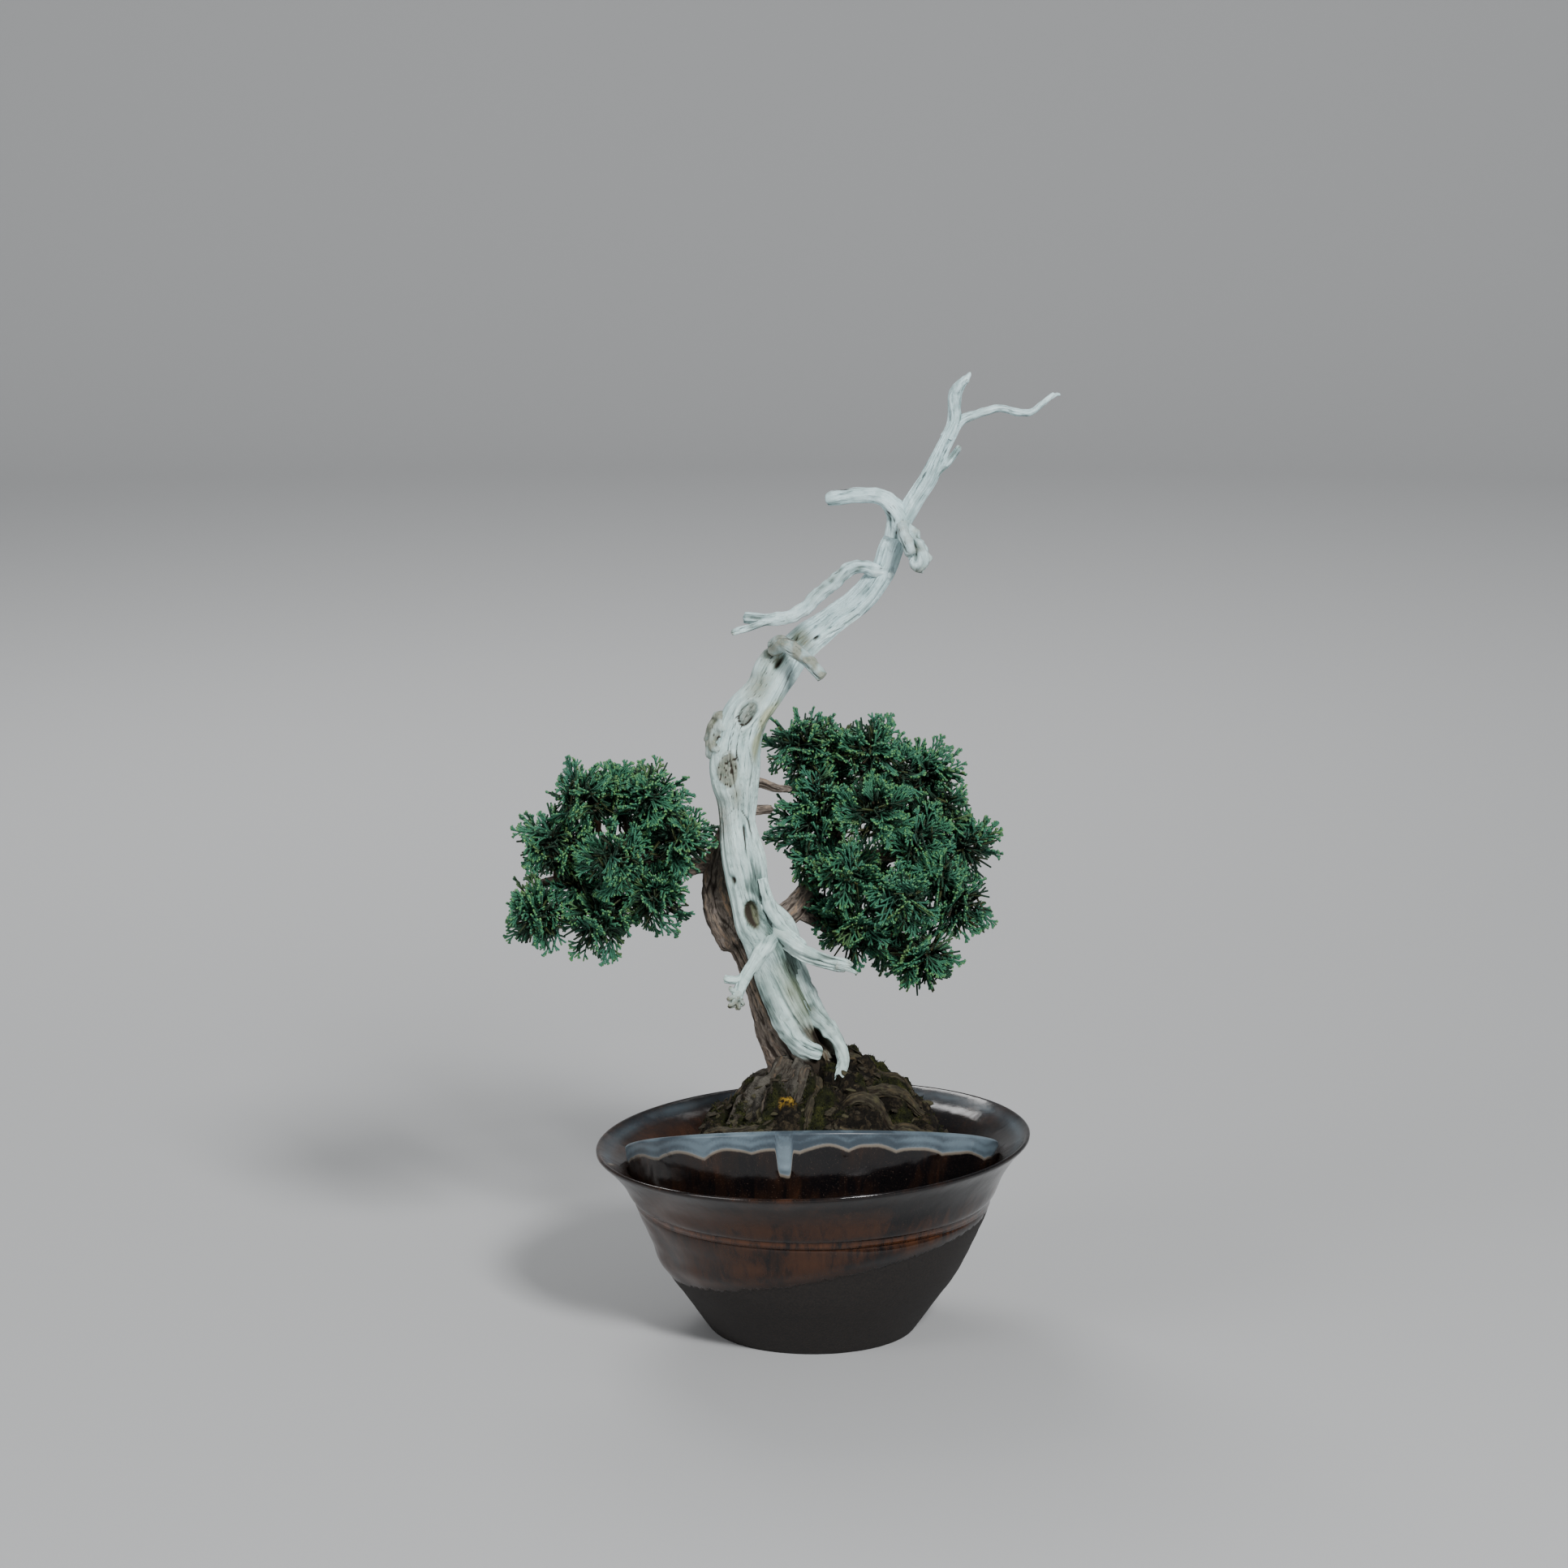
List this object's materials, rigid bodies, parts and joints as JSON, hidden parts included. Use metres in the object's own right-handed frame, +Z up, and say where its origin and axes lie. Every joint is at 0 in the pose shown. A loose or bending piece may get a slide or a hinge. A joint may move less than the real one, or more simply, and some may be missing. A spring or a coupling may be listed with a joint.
{
  "type": "potted juniper bonsai",
  "caption": "Juniper bonsai with a long bare deadwood trunk, low tufted foliage to both sides and a strip of live bark, in a flared round glazed bowl with a raised inner front.",
  "frame": {"origin": "centre of the pot's flat base, on its underside", "axes": "+Z up, -Y towards the side the tree is seen from, +X to the right from that side"},
  "size_m": [0.2413, 0.19, 0.4205],
  "materials": {
    "glaze": "glossy dark brown to blue-black glaze with a blue-grey band",
    "mesh_plastic": "matt moulded plastic mesh",
    "soil": "loose damp grit and soil",
    "moss": "matt moss, peat and old root bark",
    "bark": "rough live bark",
    "silver_wood": "weathered bare wood, silver-white",
    "leaf": "satin scale leaves, blue-green"
  },
  "bodies": {
    "root": {"deadwood": "silver_wood", "drain_mesh_1": "mesh_plastic", "drain_mesh_2": "mesh_plastic", "drain_mesh_3": "mesh_plastic", "foliage_left_01": "leaf", "foliage_left_02": "leaf", "foliage_left_03": "leaf", "foliage_left_04": "leaf", "foliage_left_05": "leaf", "foliage_left_06": "leaf", "foliage_left_07": "leaf", "foliage_left_08": "leaf", "foliage_left_09": "leaf", "foliage_left_10": "leaf", "foliage_left_11": "leaf", "foliage_left_12": "leaf", "foliage_right_01": "leaf", "foliage_right_02": "leaf", "foliage_right_03": "leaf", "foliage_right_04": "leaf", "foliage_right_05": "leaf", "foliage_right_06": "leaf", "foliage_right_07": "leaf", "foliage_right_08": "leaf", "foliage_right_09": "leaf", "foliage_right_10": "leaf", "foliage_right_11": "leaf", "foliage_right_12": "leaf", "foliage_right_13": "leaf", "foliage_right_14": "leaf", "foliage_right_15": "leaf", "foliage_right_16": "leaf", "foliage_right_17": "leaf", "live_wood": "bark", "moss_mound": "moss", "pot": "glaze", "soil": "soil"}
  },
  "joints": []
}
